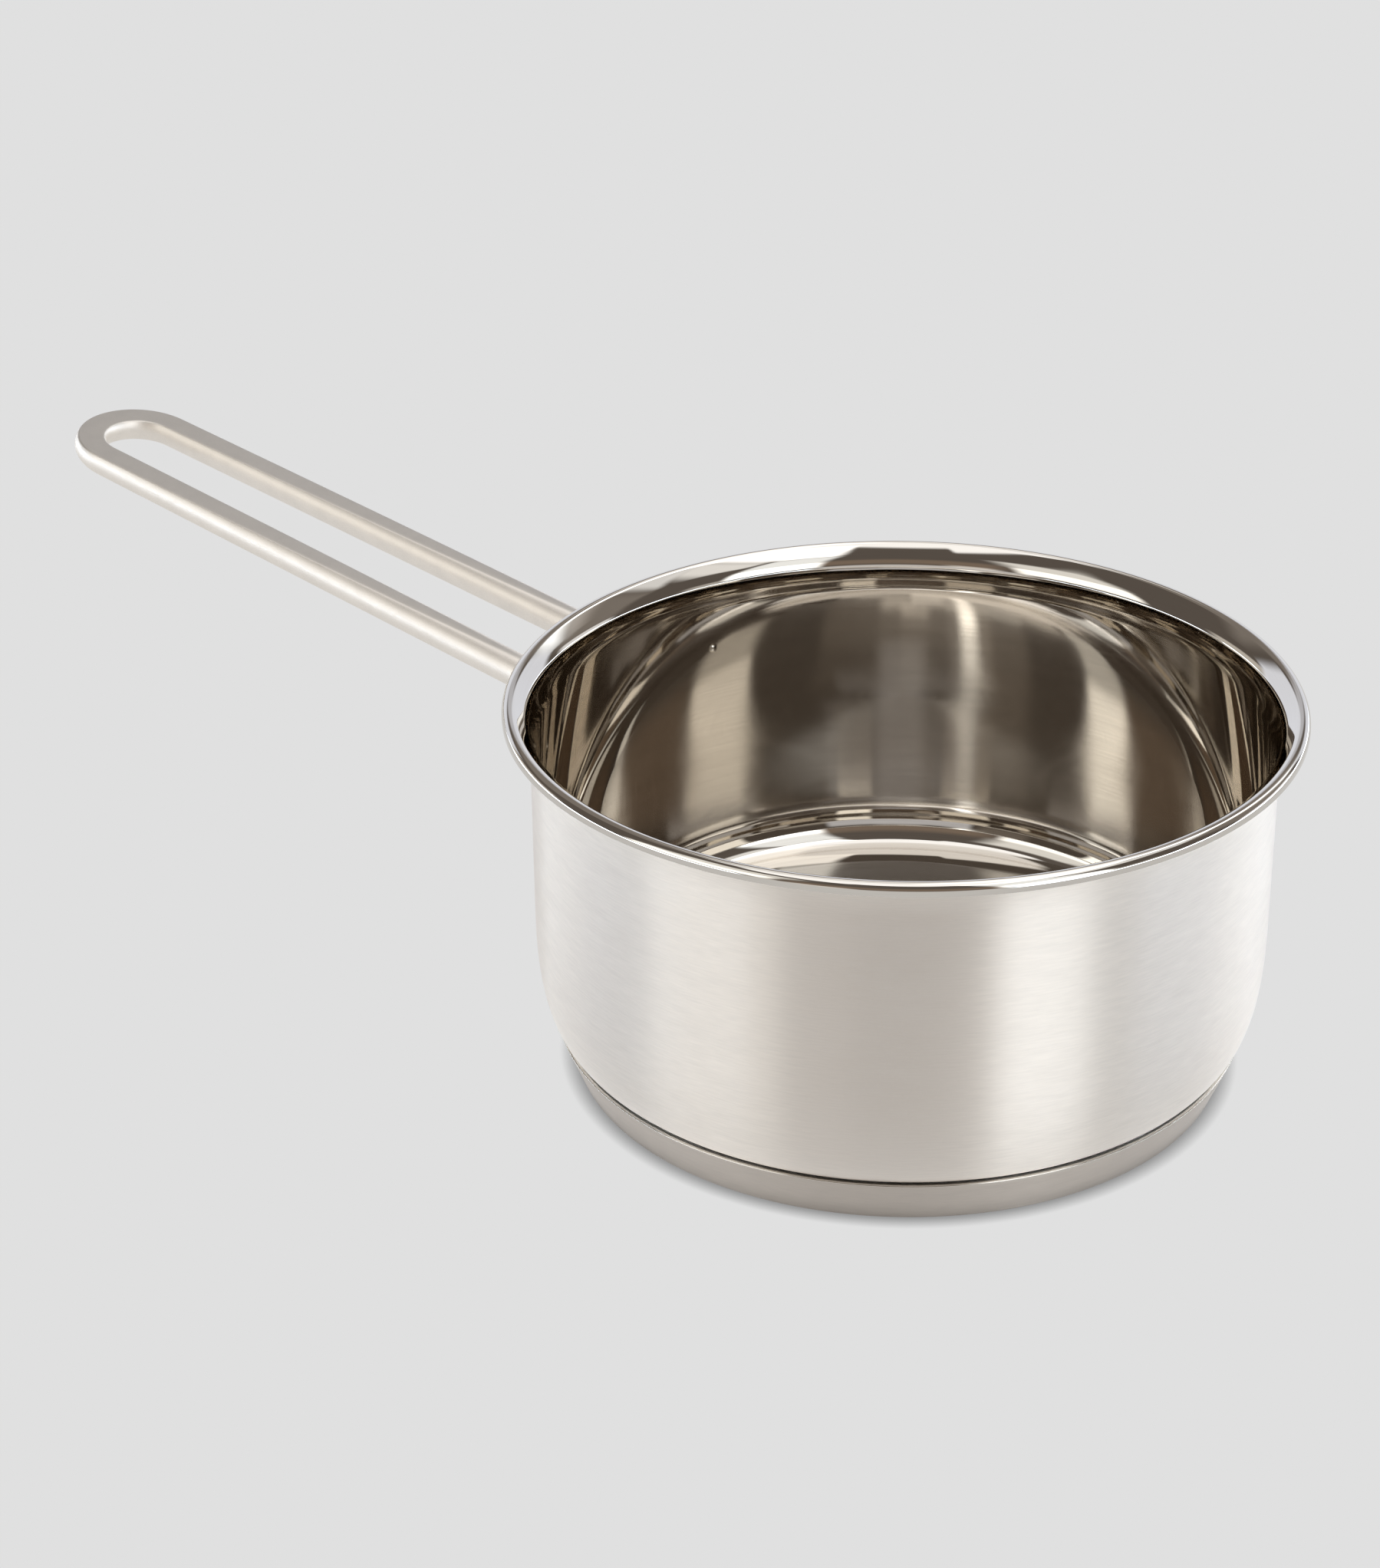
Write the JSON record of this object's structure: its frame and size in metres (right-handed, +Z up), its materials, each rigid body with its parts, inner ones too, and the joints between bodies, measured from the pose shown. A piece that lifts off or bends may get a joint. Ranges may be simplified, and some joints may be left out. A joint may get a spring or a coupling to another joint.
{
  "type": "saucepan",
  "caption": "Small stainless-steel saucepan with a flared pouring rim, a capsule base and a long loop handle bent from round rod.",
  "frame": {"origin": "centre of the flat underside of the base", "axes": "+X from the pan's axis towards the handle, +Z up out of the pan, +Y across the handle"},
  "size_m": [0.3283, 0.1736, 0.0981],
  "materials": {
    "satin_steel": "circumferentially brushed satin outside, polished lip, near-mirror inside",
    "aluminium_core": "plain rolled aluminium, sealed inside the base",
    "cap_steel": "fine circular satin, polished upper edge",
    "plate_steel": "plain satin",
    "handle_steel": "fine blasted satin with a ground flat top",
    "weld_steel": "dull weld metal, cleaned and pickled"
  },
  "bodies": {
    "root": {"pan_body": "satin_steel", "base_core": "aluminium_core", "base_cap": "cap_steel", "mounting_plate": "plate_steel", "handle_loop": "handle_steel", "left_leg_weld": "weld_steel", "right_leg_weld": "weld_steel"}
  },
  "joints": []
}
